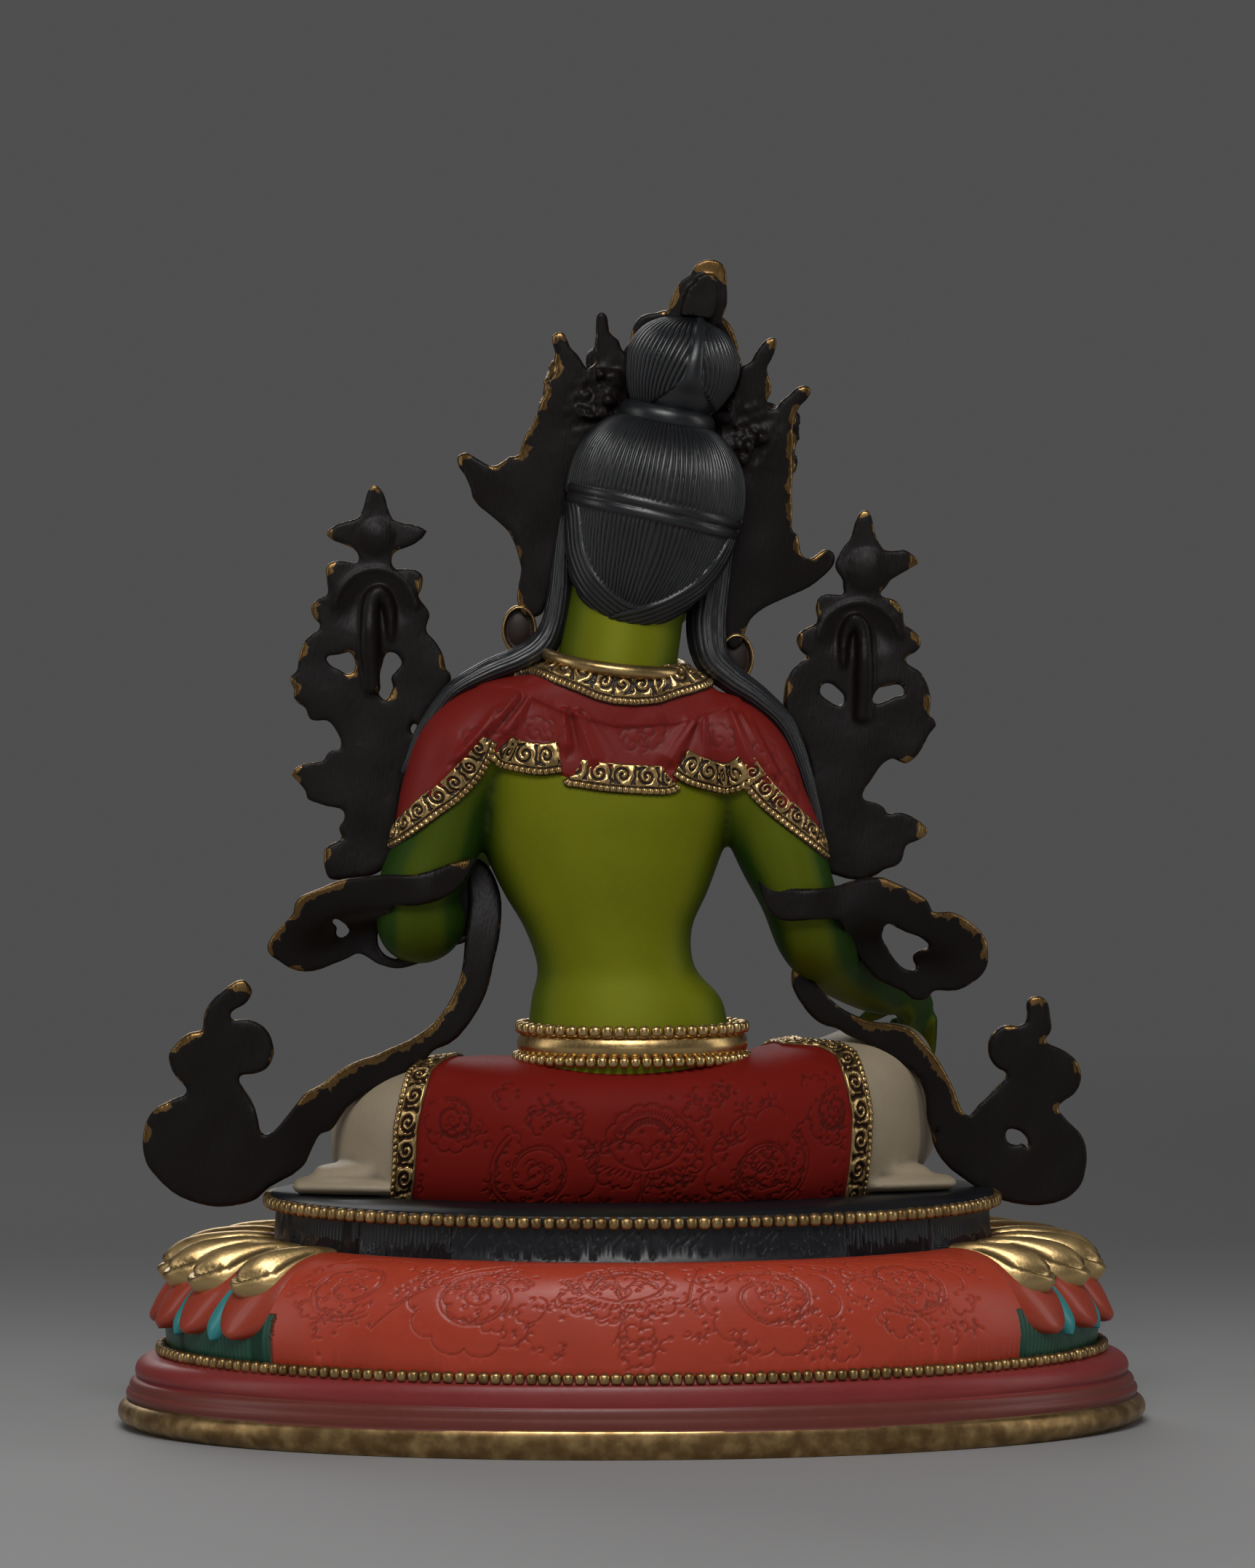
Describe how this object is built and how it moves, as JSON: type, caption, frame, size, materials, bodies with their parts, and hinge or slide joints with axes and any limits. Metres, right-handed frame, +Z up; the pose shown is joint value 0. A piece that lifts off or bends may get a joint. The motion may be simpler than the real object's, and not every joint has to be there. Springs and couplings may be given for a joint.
{
  "type": "seated tara figure",
  "caption": "Seated goddess figure of painted cast copper alloy on an oval lotus base, with a leafed crown and a lotus spray at each shoulder.",
  "frame": {"origin": "centre of the base's flat underside", "axes": "+Z up, -Y is the way the figure faces, +X is the figure's own left"},
  "size_m": [0.2832, 0.2109, 0.3197],
  "materials": {
    "painted_base": "satin red paint over engraved copper, gilt rim and beads worn",
    "painted_skin": "semi-gloss green lacquer over cast copper",
    "painted_cloth": "satin dark red paint over engraved copper",
    "painted_hair": "blue-black paint over fine cast strands",
    "dark_gilt": "black ground with worn gilt edges, gilt in front"
  },
  "bodies": {
    "root": {"lotus_base": "painted_base", "tara_figure": "painted_skin", "crown": "dark_gilt", "lotus_spray_left": "dark_gilt", "lotus_spray_right": "dark_gilt"}
  },
  "joints": []
}
